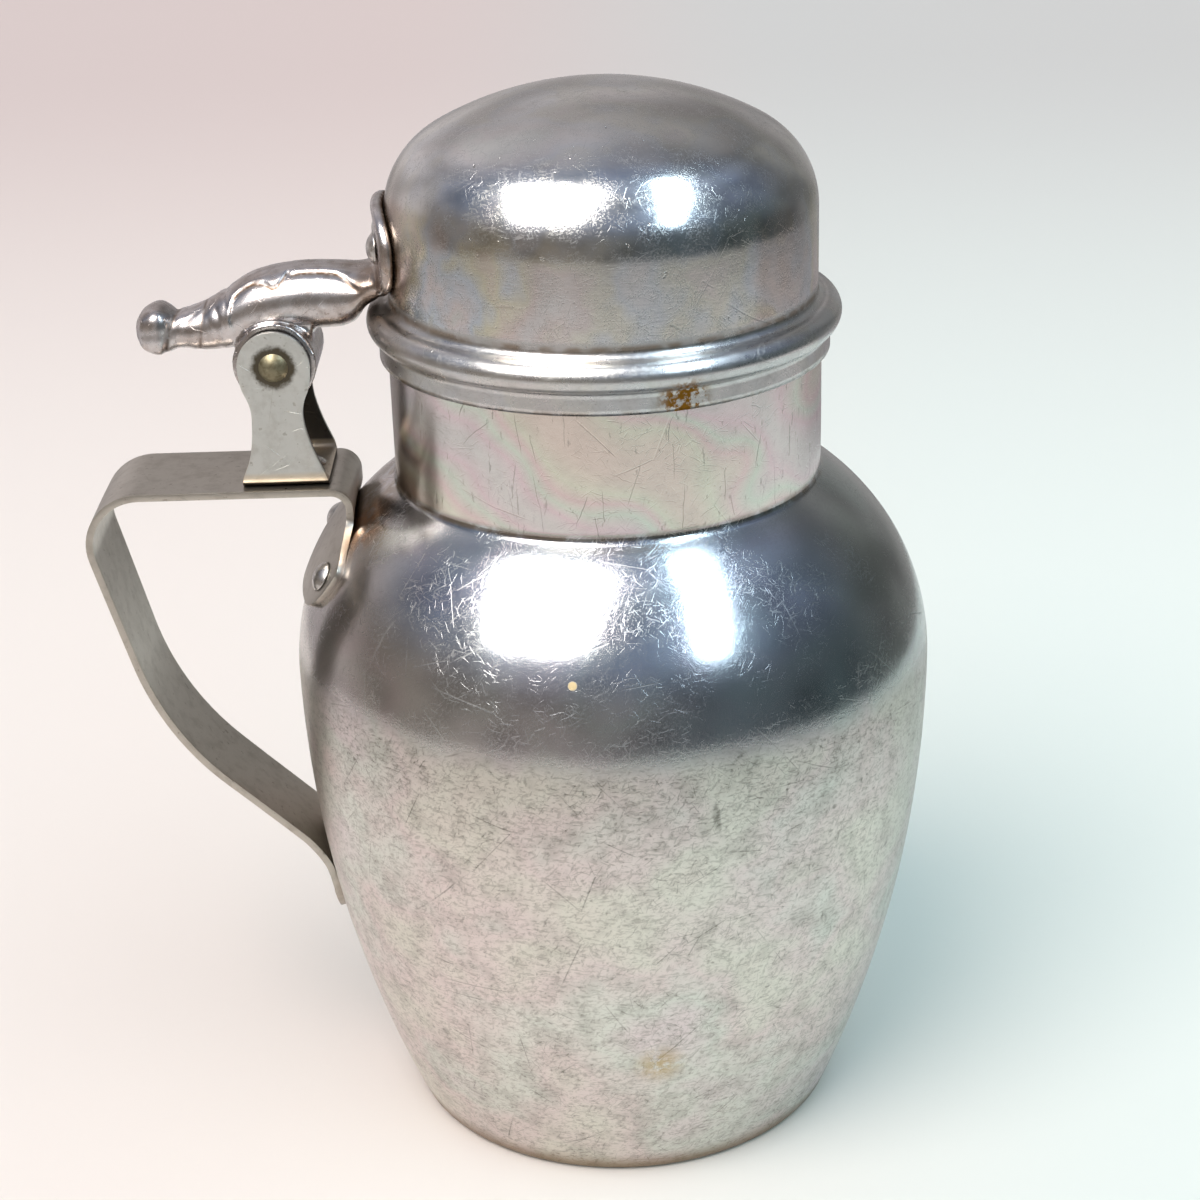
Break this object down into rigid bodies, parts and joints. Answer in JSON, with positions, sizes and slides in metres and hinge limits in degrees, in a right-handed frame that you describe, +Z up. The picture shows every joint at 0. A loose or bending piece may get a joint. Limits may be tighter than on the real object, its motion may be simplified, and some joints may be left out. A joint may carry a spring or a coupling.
{
  "type": "hinged-lid jug",
  "caption": "Spun aluminium jug with a domed hinged cap, riveted strap handle and cast thumb lever.",
  "frame": {"origin": "on the jug's axis at the flat base that it stands on", "axes": "+Z up along the jug's axis; the handle and thumb lever point to -X; the hinge pin lies along Y"},
  "size_m": [0.1434, 0.11, 0.1831],
  "materials": {
    "body_metal": "aged satin, polished shoulder, fine scratches",
    "cap_metal": "satin polished, fine scratches",
    "strap_metal": "dull satin",
    "bracket_metal": "dull satin",
    "lever_metal": "polished casting",
    "rivet_metal": "satin",
    "pin_metal": "tarnished"
  },
  "bodies": {
    "jug": {"jug_body": "body_metal", "handle_strap": "strap_metal", "shoulder_rivet_front": "rivet_metal", "shoulder_rivet_back": "rivet_metal", "lower_handle_rivet": "rivet_metal", "hinge_bracket": "bracket_metal", "bracket_rivet_inner": "rivet_metal", "bracket_rivet_outer": "rivet_metal", "hinge_pin": "pin_metal"},
    "lid": {"cap": "cap_metal", "thumb_lever": "lever_metal", "cap_rivet_front": "rivet_metal", "cap_rivet_back": "rivet_metal"}
  },
  "joints": [
    {"name": "lid_hinge", "type": "hinge", "parent": "jug", "child": "lid", "pos_m": [-0.0545, 0, 0.1395], "axis": [0, -1, 0], "range_deg": [0, 72]}
  ]
}
